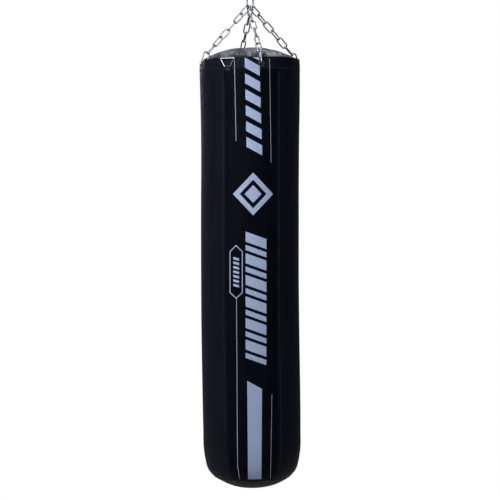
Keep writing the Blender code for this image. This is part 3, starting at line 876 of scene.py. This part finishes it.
def make_thread():
    """Top stitching beside the upright seams, along the hem and round the bottom seam."""
    runs = []
    beside = math.degrees(0.0055 / HEM_RADIUS)
    top, bottom = HEM_DEPTH + 0.004, BOTTOM_SEAM - 0.004
    for start, _ in SEAMS.values():
        for side in (-beside, beside):
            def upright(share, azimuth=start + side):
                depth = top + (bottom - top) * share
                return skin(azimuth, depth, STITCH_LIFT), outward(azimuth)
            runs.append((upright, round((bottom - top) / STITCH_PITCH)))
    sew("seam_thread", runs)

    runs = []
    for depth in (HEM_DEPTH - 0.003, HEM_DEPTH - 0.0075):
        def level(share, depth=depth):
            return hem_face(360 * share, depth, STITCH_LIFT), outward(360 * share)
        runs.append((level, round(math.tau * HEM_RADIUS / STITCH_PITCH)))
    sew("hem_thread", runs)

    def foot_line(share):
        azimuth = 360 * share
        lower = skin(azimuth, BOTTOM_SEAM - 0.0008)
        upper = skin(azimuth, BOTTOM_SEAM - 0.0060)
        tangent = (lower - upper).normalized()
        normal = sideways(azimuth).cross(tangent).normalized()
        if normal.dot(outward(azimuth)) < 0:
            normal = -normal
        return skin(azimuth, BOTTOM_SEAM - 0.0045) + normal * STITCH_LIFT, normal
    radius = profile_radius(BOTTOM_SEAM)
    sew("bottom_thread", [(foot_line, round(math.tau * radius / STITCH_PITCH))])


# Print

class Print:
    """Slabs of ink that follow the bag's skin, each over a quad of (across, depth) corners."""

    def __init__(self, name):
        self.name = name
        self.shape = bmesh.new()

    def quad(self, *corners):
        """Corners run top left, top right, bottom right, bottom left."""
        a, b, c, d = [Vector(corner) for corner in corners]
        wide = max(1, math.ceil(max((b - a).length, (c - d).length) / COLUMNS))
        rows_apart = FINE_ROWS if a.y < HEM_DEPTH else ROWS
        high = max(1, math.ceil(max((d - a).length, (c - b).length) / rows_apart))
        grid = {}
        for layer, lift in enumerate((INK_LIFT, -INK_LIFT)):
            for i in range(high + 1):
                left = a.lerp(d, i / high)
                right = b.lerp(c, i / high)
                for j in range(wide + 1):
                    spot = left.lerp(right, j / wide)
                    grid[layer, i, j] = self.shape.verts.new(on_front(spot.x, spot.y, lift))
        new = self.shape.faces.new
        for i in range(high):
            for j in range(wide):
                new([grid[0, i, j], grid[0, i + 1, j], grid[0, i + 1, j + 1], grid[0, i, j + 1]])
                new([grid[1, i, j], grid[1, i, j + 1], grid[1, i + 1, j + 1], grid[1, i + 1, j]])
        rim = [(0, j) for j in range(wide)] + [(i, wide) for i in range(high)]
        rim += [(high, j) for j in range(wide, 0, -1)] + [(i, 0) for i in range(high, 0, -1)]
        for here, there in zip(rim, rim[1:] + rim[:1]):
            new([grid[0, *here], grid[0, *there], grid[1, *there], grid[1, *here]])

    def line(self, start, end, width):
        start, end = Vector(start), Vector(end)
        side = Vector((end.y - start.y, start.x - end.x)).normalized() * width / 2
        self.quad(start - side, start + side, end + side, end - side)

    def outline(self, corners, width):
        """Closed band of this width just inside a convex outline."""
        corners = [Vector(corner) for corner in corners]
        following = corners[1:] + corners[:1]
        inset = []
        for before, here, after in zip(corners[-1:] + corners, corners, following):
            back, ahead = (before - here).normalized(), (after - here).normalized()
            inward = (back + ahead).normalized()
            inset.append(here + inward * width / math.sin(back.angle(ahead) / 2))
        for quad in zip(corners, following, inset[1:] + inset[:1], inset):
            self.quad(*quad)

    def done(self, look="ink", holes=()):
        bmesh.ops.recalc_face_normals(self.shape, faces=self.shape.faces)
        mesh = bpy.data.meshes.new(self.name)
        self.shape.to_mesh(mesh)
        self.shape.free()
        if holes:
            mesh = cut(mesh, holes)
        piece(self.name, smoothed(mesh, 50), look)


def make_print():
    """Silver print on the front panel: bars, a plain diamond, slanted blocks, a tab and lines."""
    bars = Print("print_bars")
    pitch, height, drop = 0.0552, 0.0345, 0.0295
    for n in range(6):
        left, right, top = -0.0184 + 0.0012 * n, 0.0337 + 0.0017 * n, 0.0035 + pitch * n
        bars.quad((left, top), (right, top + drop), (right, top + drop + height), (left, top + height))
    bars.quad((0.0097, 0.0022), (0.0335, 0.0022), (0.0335, 0.0130), (0.0105, 0.0026))
    bars.done(holes=[eyelet_rod("front", PRINT_HOLE, 0.02)])

    lines = Print("print_lines")
    for width, *route in PRINTED_LINES:
        for start, end in zip(route, route[1:]):
            lines.line(start, end, width)
    lines.done("line_ink")

    emblem = Print("print_diamond")
    middle = Vector((0.0108, 0.478))
    wide, high = Vector((0.070, 0)), Vector((0, 0.0745))
    emblem.outline([middle - high, middle + wide, middle + high, middle - wide], 0.017)
    emblem.quad(middle - high * 0.42, middle + wide * 0.42, middle + high * 0.42, middle - wide * 0.42)
    emblem.done()

    blocks = Print("print_blocks")
    left, right, slant = -0.0152, 0.057, 0.026
    broad, narrow, gap = 0.035, 0.018, 0.011
    top = 0.609
    for _ in range(6):
        for height in (broad, narrow):
            foot = top + height
            blocks.quad((left, top), (right, top + slant), (right, foot + slant), (left, foot))
            top += height + gap
    blocks.done()

    tab = Print("print_tab")
    west, east = -0.0708, -0.0252
    centre = (west + east) / 2
    shoulder, heel = 0.678, 0.822
    tab.outline([(centre, 0.655), (east, shoulder), (east, heel),
                 (centre, 0.843), (west, heel), (west, shoulder)], 0.0030)
    for n in range(7):
        high = 0.697 + 0.0155 * n
        tab.quad((centre - 0.010, high), (centre + 0.010, high + 0.005),
                 (centre + 0.010, high + 0.0135), (centre - 0.010, high + 0.0085))
    tab.done()

    stripe = Print("print_stripe")
    stripe.quad((-0.0096, 1.128), (0.0420, 1.1565), (0.0396, 1.474), (-0.0069, 1.474))
    stripe.done()


# Top cover

def dome(radius):
    """Height above the rim of the plain dome."""
    return DOME_HEIGHT - DOME_RADIUS + math.sqrt(DOME_RADIUS ** 2 - radius ** 2)


def plain_cover(radius):
    """Height above the rim of the cover where it dips for the hooks and the zip."""
    if radius < DOME_EDGE:
        return dome(radius)
    radii, depths = zip(*GUTTER)
    return -np.interp(radius, (DOME_EDGE, *radii), (-dome(DOME_EDGE), *depths))


def off_zip(spot, reach, fade):
    """0 over the zip, rising to 1 clear of it; reach and fade are (beside it, past its ends)."""
    away = (abs(spot.y - ZIP_OFFSET), abs(spot.x))
    return max(ease((far - near) / span) for far, near, span in zip(away, reach, fade))


def cover_height(azimuth, radius):
    """Height above the rim of the filled cover: fuller away from the hooks and the zip."""
    full = COVER_RISE * (1 - (radius / COVER_REACH) ** COVER_FULLNESS)
    spot = outward(azimuth) * radius
    nearest = nearest_angle(azimuth, HOOK_AZIMUTHS)
    at_hook = (1 - ease((nearest - HOOK_PULL) / 7)) * ease((radius - 0.115) / 0.025)
    share = max(at_hook, 1 - off_zip(spot, (0.014, 0.110), (0.022, 0.022)))
    return full + (plain_cover(radius) - full) * share


def crumple(azimuth, radius):
    """Creases of the thin cloth: sharp folds that fan out to the seam over broad soft dents."""
    way = outward(azimuth)
    fan = noise.noise(way * 2.6 + UP * (radius * 9 + 5))
    dents = noise.noise(way * radius * 13 + UP * 3)
    folds = hump(fan, 0.13) * ease(radius / 0.12)
    return (0.0036 * dents - 0.0030 * folds) * ease(radius / 0.02) * ease((0.162 - radius) / 0.03)


def cover_rows():
    """Rings of the cover from its middle out, and then down inside the hem to its seam."""
    rows = []
    angles = np.arange(0, 360, 2)
    for share in np.concatenate([np.linspace(0.02, 0.84, 40), np.linspace(0.86, 1, 12)]):
        ring = []
        for azimuth in angles:
            edge = skin(azimuth, 0).xy.length - COVER_EDGE
            radius = edge * share
            spot = outward(azimuth) * radius
            loose = off_zip(spot, (0.013, 0.108), (0.012, 0.010))
            height = RIM_Z + cover_height(azimuth, radius) + crumple(azimuth, radius) * loose
            ring.append(spot + UP * height)
        rows.append(ring)
    for depth, inset in COVER_HEM:
        ring = []
        for azimuth, upper in zip(angles, rows[-1]):
            radius = skin(azimuth, depth).xy.length - inset
            ring.append(outward(azimuth) * radius + UP * min(RIM_Z - depth, upper.z - 0.004))
        rows.append(ring)
    return rows


def billowed(mesh):
    """The cover's points after a short cloth run: too large for its seam, and pushed up by the filling."""
    holder = held("cover_cloth", mesh)
    pins = holder.vertex_groups.new(name="pins")
    for vertex in mesh.vertices:
        at_seam = ease((math.hypot(vertex.co.x, vertex.co.y) - 0.150) / 0.010)
        hold = max(at_seam, 1 - off_zip(vertex.co, (0.015, 0.112), (0.012, 0.012)))
        if hold > 0:
            pins.add([vertex.index], hold, "REPLACE")
    cloth = holder.modifiers.new("cloth", "CLOTH")
    for key, value in CLOTH.items():
        setattr(cloth.settings, key, value)
    cloth.settings.effector_weights.gravity = 0
    scene = bpy.context.scene
    for frame_number in range(1, CLOTH_FRAMES + 1):
        scene.frame_set(frame_number)
    settled = holder.evaluated_get(bpy.context.evaluated_depsgraph_get())
    points = np.array([v.co for v in settled.to_mesh().vertices], float)
    settled.to_mesh_clear()
    bpy.data.objects.remove(holder)
    scene.frame_set(1)
    return points


def make_cover():
    """Domed cover of thin coated cloth, wrinkled towards its seam."""
    mesh = lattice(cover_rows()[::-1], wrap=True)
    with edited(mesh) as shape:
        last = [e for e in shape.edges if e.is_boundary and e.verts[0].co.xy.length < 0.02]
        filled = bmesh.ops.holes_fill(shape, edges=last)["faces"]
        bmesh.ops.poke(shape, faces=filled)
        bmesh.ops.recalc_face_normals(shape, faces=shape.faces)
    before = np.array([v.co for v in mesh.vertices], float)
    shift = billowed(mesh.copy()) - before
    size = np.linalg.norm(shift, axis=1, keepdims=True)
    shift *= np.minimum(1, MOST_BILLOW / np.maximum(size, 1e-9))
    mesh.vertices.foreach_set("co", (before + shift).ravel())
    mesh = walled(mesh, COVER_THICKNESS, finer=1)
    piece("top_cover_cloth", mesh, "grey_vinyl", node="top_cover")


def zip_place(angle):
    turn = math.radians(angle)
    return placement(DOME_CENTRE, Vector((math.sin(turn), 0, math.cos(turn))), Vector((0, 1, 0)))


def dome_height(offset):
    return math.sqrt(DOME_RADIUS ** 2 - offset ** 2)


def make_zip():
    """Woven tape, a row of teeth, the slider and its pull."""
    rows = []
    for angle in np.linspace(-ZIP_HALF_ANGLE, ZIP_HALF_ANGLE, 90):
        place = zip_place(angle)
        ring = []
        for offset in np.linspace(-TAPE_WIDTH / 2, TAPE_WIDTH / 2, 9):
            cord = 0.0005 * hump(abs(offset) - 0.0042, 0.0012)
            wave = 0.0003 * math.sin(angle * 3 + offset * 200)
            height = dome_height(ZIP_OFFSET + offset) + 0.0016 + cord + wave
            ring.append(place @ Vector((height, 0, ZIP_OFFSET + offset)))
        rows.append(ring)
    mesh = lattice(rows, thickness=0.0011)
    piece("zip_tape_woven", mesh, "webbing", node="zip_tape")

    teeth = []
    count = round(math.radians(2 * ZIP_HALF_ANGLE) * DOME_RADIUS / TEETH_PITCH)
    for n in range(count):
        angle = -ZIP_HALF_ANGLE + 2 * ZIP_HALF_ANGLE * (n + 0.5) / count
        side = 0.0009 if n % 2 else -0.0009
        spot = Vector((dome_height(ZIP_OFFSET) + 0.0027, 0, ZIP_OFFSET + side))
        place = zip_place(angle) @ Matrix.Translation(spot)
        teeth.append(block((0.0013, TEETH_PITCH * 0.62, 0.0040), place, 0.00025))
    piece("zip_teeth_row", joined(teeth), "zinc", node="zip_teeth")

    assign("zip_slider", "zinc")
    reach, width = PULL_SIZE
    place = placement(joint_place("pull_flip"), zip_place(SLIDER_ANGLE).to_3x3().col[0], Vector((0, 1, 0)))
    points = [(0, p.z + reach / 2, p.x) for p in rounded_loop(reach, width)]
    piece("zip_pull_loop", wire(points, PULL_WIRE, True, 12), "zinc", "pull", "zip_pull", place)


# Chains, hooks and rings

def rounded_loop(length, width, steps=14):
    radius = width / 2
    reach = length / 2 - radius
    return arc((0, reach), radius, 0, 180, steps) + arc((0, -reach), radius, 180, 360, steps)


def link_mesh():
    """One welded link: round wire with a flash collar half way down a side."""
    loop = rounded_loop(LINK_LENGTH, LINK_WIDTH)
    heights = (0.0060, 0.0022, 0.0012, 0.0, -0.0012, -0.0022, -0.0060)
    straight = [Vector((-LINK_WIDTH / 2, 0, z)) for z in heights]
    points = loop[:15] + straight + loop[15:]
    mesh = wire(points, LINK_WIRE, True, 16)
    for vertex in mesh.vertices:
        if vertex.co.x < 0:
            centre = Vector((-LINK_WIDTH / 2, 0, vertex.co.z))
            swell = 1 + 0.14 * hump(vertex.co.z, 0.0010)
            if abs(vertex.co.z) < 0.007:
                vertex.co = centre + (vertex.co - centre) * swell
    return mesh


def make_chains():
    mesh = link_mesh()
    for node, obj in list(frame["nodes"].items()):
        if "_link_" not in node:
            continue
        middle, (long_axis, wide_axis, _) = node_axes(node)
        place = placement(middle, wide_axis, long_axis)
        piece(node + "_welded", mesh.copy(), "zinc", obj["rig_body"], node, place)


def hook_geometry(scale):
    """Points of a snap hook of one size, in its own XZ plane, from the narrow end up."""
    narrow, wide, length = HOOK_NARROW * scale, HOOK_WIDE * scale, HOOK_LENGTH * scale
    lean = math.degrees(math.asin((wide - narrow) / (length - narrow - wide)))
    low, high = (0, narrow), (0, length - wide)
    leg_foot = arc(low, narrow, -lean, 0, 1)[0]
    nose = arc(high, wide, -lean, 0, 1)[0]
    along = (nose - leg_foot).normalized()
    pin = leg_foot + along * ((HOOK_PIN_HEIGHT * scale - leg_foot.z) / along.z)
    return low, high, lean, nose, along, pin


def hook_meshes(scale):
    """Body, gate and pin of a snap hook, all in the hook's own frame."""
    low, high, lean, nose, along, pin = hook_geometry(scale)
    radius = HOOK_WIRE * scale
    across = placement(pin, Vector((along.z, 0, -along.x)), along)
    height = HOOK_CUT * scale
    points = [pin + along * TAB_REACH * scale, pin - along * TAB_ROOT * scale]
    points += arc(low, HOOK_NARROW * scale, -lean, -180 + lean, 26)
    points += arc(high, HOOK_WIDE * scale, 180 + lean, -lean, 30)
    points.append(nose - along * NOSE_TRIM * scale)
    body = wire(points, radius)
    tools = []
    for side in (-1, 1):
        spot = Vector((0, side * (GATE_TAB * scale / 2 + radius), height / 2 - TAB_ROOT * scale))
        tools.append(block((4 * radius, 2 * radius, height), across @ Matrix.Translation(spot)))
    body = cut(body, tools)

    foot, head = pin - along * radius, nose - along * GATE_TRIM * scale
    gate = wire([foot.lerp(head, share) for share in np.linspace(0, 1, 9)], radius * 0.97)
    spot = Vector((0, 0, FORK_DEPTH * scale - height / 2))
    gate = cut(gate, [block((4 * radius, GATE_SLOT * scale, height), across @ Matrix.Translation(spot))])

    rivet = [rod(HOOK_PIN_RADIUS * scale, 2.2 * radius, 20, across)]
    for side in (-1, 1):
        spot = Vector((0, side * 1.08 * radius, 0))
        head_place = across @ Matrix.Translation(spot)
        rivet.append(rod(HOOK_PIN_RADIUS * 1.6 * scale, RIVET_HEAD * scale, 20, head_place))
    return body, gate, joined(rivet)


def hook_place(seat, gate_joint, scale):
    """The hook's frame, from its lower end and from the hinge of its gate."""
    pin = hook_geometry(scale)[-1]
    y_axis = -Vector(JOINTS[gate_joint]["axis"])
    reach = joint_place(gate_joint) - seat
    reach -= y_axis * reach.dot(y_axis)
    beside = y_axis.cross(reach)
    x_axis = (reach * pin.x + beside * pin.z).normalized()
    z_axis = (reach * pin.z - beside * pin.x).normalized()
    if x_axis.cross(y_axis).dot(z_axis) < 0:
        x_axis = -x_axis
    return placement(seat, x_axis, z_axis)


def make_hooks():
    ring_seat = joint_place("ring_swing")
    hooks = [("top", ring_seat, TOP_HOOK_SCALE)]
    hooks += [(name, joint_place(name + "_hook_turn"), 1.0) for name in HOOKED]
    for name, seat, scale in hooks:
        place = hook_place(seat, name + "_gate_hinge", scale)
        bodies = (name + "_hook", name + "_gate", name + "_hook")
        for part, mesh, body in zip(("body", "gate", "pin"), hook_meshes(scale), bodies):
            node = f"{name}_hook_{part}"
            piece(node + "_forged", mesh, "zinc", body, node, place)


def make_ring():
    """D-shaped ring, round above and flat below."""
    seat = joint_place("ring_swing")
    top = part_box("hanging_ring")[1].z - RING_WIRE - seat.z
    half = RING_WIDTH / 2
    bow = top - RING_HEIGHT
    flat = half - RING_CORNER
    points = arc((0, top - half), half, 0, 180, 30)
    points += arc((-flat, bow + RING_CORNER), RING_CORNER, 180, 270, 8)
    points += arc((flat, bow + RING_CORNER), RING_CORNER, 270, 360, 8)
    place = placement(seat, Vector(JOINTS["bag_swing"]["axis"]), UP)
    piece("hanging_ring_bent", wire(points, RING_WIRE, True), "zinc", "ring", "hanging_ring", place)


def corner(before, point, after):
    """Points round a bend, from one side of a corner to the other."""
    before, point, after = Vector(before), Vector(point), Vector(after)
    return [before * (1 - t) ** 2 + point * 2 * t * (1 - t) + after * t ** 2 for t in BEND_STEPS]


def make_carry_ring():
    """Trapezoid wire ring in its sewn webbing loop."""
    pivot = joint_place("carry_ring_flip")
    place = placement(pivot, sideways(CARRY_AZIMUTH), UP)
    split, split_gap = CARRY_SPLIT
    foot, head, top = CARRY_BASE / 2, CARRY_TOP / 2, CARRY_HEIGHT
    slope = Vector((head - foot, top)).normalized() * CARRY_BEND
    half = corner((head - CARRY_BEND, top), (head, top), (head - slope.x, top - slope.y))
    half += corner((foot + slope.x, slope.y), (foot, 0), (foot - CARRY_BEND, 0))
    mirrored = [(-x, z) for x, z in reversed(half)]
    route = [(split + split_gap / 2, top), *half, *mirrored, (split - split_gap / 2, top)]
    points = [(x, 0, z) for x, z in route]
    piece("carry_ring_wire", wire(points, CARRY_WIRE), "chrome", "carry_ring", "carry_ring", place)

    inner = CARRY_WIRE + LOOP_SLACK
    outer = inner + LOOP_THICKNESS
    rows = []
    section = [(math.cos(a) * inner, math.sin(a) * inner, math.cos(a) * outer, math.sin(a) * outer)
               for a in np.radians(np.linspace(-128, 180, 24))]
    tails = [(-inner, -s, -outer, -s) for s in np.linspace(0.0015, LOOP_TAIL, 8)]
    for x_in, z_in, x_out, z_out in section + tails:
        ring = []
        for side in np.linspace(-LOOP_WIDTH / 2, LOOP_WIDTH / 2, 9):
            crown = 0.00018 * math.cos(side / LOOP_WIDTH * math.pi)
            ring.append((x_out * (1 + crown / outer), side, z_out * (1 + crown / outer)))
        for side in np.linspace(LOOP_WIDTH / 2, -LOOP_WIDTH / 2, 9):
            ring.append((x_in, side, z_in))
        rows.append(ring)
    mesh = lattice(rows, wrap=True)
    with edited(mesh) as shape:
        bmesh.ops.holes_fill(shape, edges=[e for e in shape.edges if e.is_boundary])
        bmesh.ops.recalc_face_normals(shape, faces=shape.faces)
    place = placement(pivot, outward(CARRY_AZIMUTH), UP)
    piece("ring_loop_woven", smoothed(mesh, 60), "webbing", "bag", "ring_loop", place)

    runs = []
    middle = math.radians(CARRY_AZIMUTH) * HEM_RADIUS
    corners = [(-0.006, 0.0385), (0.006, 0.0385), (0.006, 0.0465), (-0.006, 0.0465)]
    for k in range(4):
        start, end = Vector(corners[k]), Vector(corners[(k + 1) % 4])

        def box_line(share, start=start, end=end):
            spot = start.lerp(end, share)
            return on_front(middle + spot.x, spot.y, 0.0028), outward(CARRY_AZIMUTH)
        runs.append((box_line, max(1, round((end - start).length / 0.004))))
    sew("loop_thread", runs)


# Studio

FLOOR_RADIUS = 3.4
FLOOR_GAP = 0.47                 # clear height below the bag
LIGHTS = (                       # name, place, size, watts, colour; all face the part's middle
    ("key", (-1.8, -2.7, 1.25), (2.6, 3.0), 125, (0.97, 0.985, 1.0)),
    ("fill", (3.0, -4.4, 0.4), (1.6, 2.4), 22, (1.0, 0.98, 0.98)),
    ("top", (0.5, 0.9, 2.4), (1.8, 1.8), 40, (1, 1, 1)),
    ("back", (-2.2, 4.2, 1.2), (2.6, 2.8), 40, (0.95, 0.97, 1.0)),
)
SKY_SHARES = {                   # the sky brightens upward and dims towards +X
    "Z": (-0.35, 0.9, 0.06, 0.66),
    "X": (-1, 1, 1.15, 0.4),
}
CAMERA_PLACE = (0, -8, RIM_Z - 0.673)
CAMERA_LENS = 162


def make_studio():
    """Pale floor below the hanging bag, soft lights, and a plain white surround."""
    scene = bpy.context.scene
    floor_mesh = bpy.data.meshes.new("floor")
    with edited(floor_mesh) as shape:
        bmesh.ops.create_circle(shape, cap_ends=True, segments=96, radius=FLOOR_RADIUS)
    floor = held("floor", floor_mesh)
    floor.location = (0, 0, cad_low.z - FLOOR_GAP)
    paint = Look("pale_floor", (0.42, 0.42, 0.42), 0.8)
    paint.bump(paint.noise(0.02, 4), 0.001, 0.2)
    floor_mesh.materials.append(paint.material)

    world = bpy.data.worlds.new("studio")
    scene.world = world
    world.use_nodes = True
    graph = Graph(world.node_tree)
    lit = graph.nodes["Background"]
    lit.inputs["Color"].default_value = (0.82, 0.90, 1.0, 1)
    way = graph.node("SeparateXYZ", graph.node("TexCoord").outputs["Generated"]).outputs
    shares = [graph.remap(way[axis], *limits) for axis, limits in SKY_SHARES.items()]
    strength = graph.node("Math", *shares, operation="MULTIPLY").outputs["Value"]
    graph.links.new(strength, lit.inputs["Strength"])
    seen = graph.node("Background", Color=(1, 1, 1, 1), Strength=1.0)
    mix = graph.node("MixShader", graph.node("LightPath").outputs["Is Camera Ray"],
                     lit.outputs["Background"], seen.outputs["Background"])
    graph.links.new(mix.outputs["Shader"], graph.nodes["World Output"].inputs["Surface"])
    scene.view_settings.view_transform = "Standard"

    middle = (cad_low + cad_high) / 2
    for name, spot, size, power, colour in LIGHTS:
        data = bpy.data.lights.new(name, "AREA")
        data.shape = "RECTANGLE"
        data.size, data.size_y = size
        data.energy = power
        data.color = colour
        lamp = held(name, data)
        lamp.location = spot
        lamp.rotation_euler = (middle - Vector(spot)).to_track_quat("-Z", "Y").to_euler()


def make_camera():
    """Level camera straight in front, a little below the bag's middle."""
    data = bpy.data.cameras.new("camera")
    data.lens = CAMERA_LENS
    data.sensor_width = 36
    camera = held("camera", data)
    camera.location = CAMERA_PLACE
    camera.rotation_euler = (math.radians(90), 0, 0)
    bpy.context.scene.camera = camera


for make in (make_camera, make_studio, make_panels, make_bottom, make_hem, make_eyelets, make_thread,
             make_print, make_cover, make_zip, make_chains, make_hooks, make_ring, make_carry_ring,
             make_foam):
    make()
assign("filling", "offcuts")
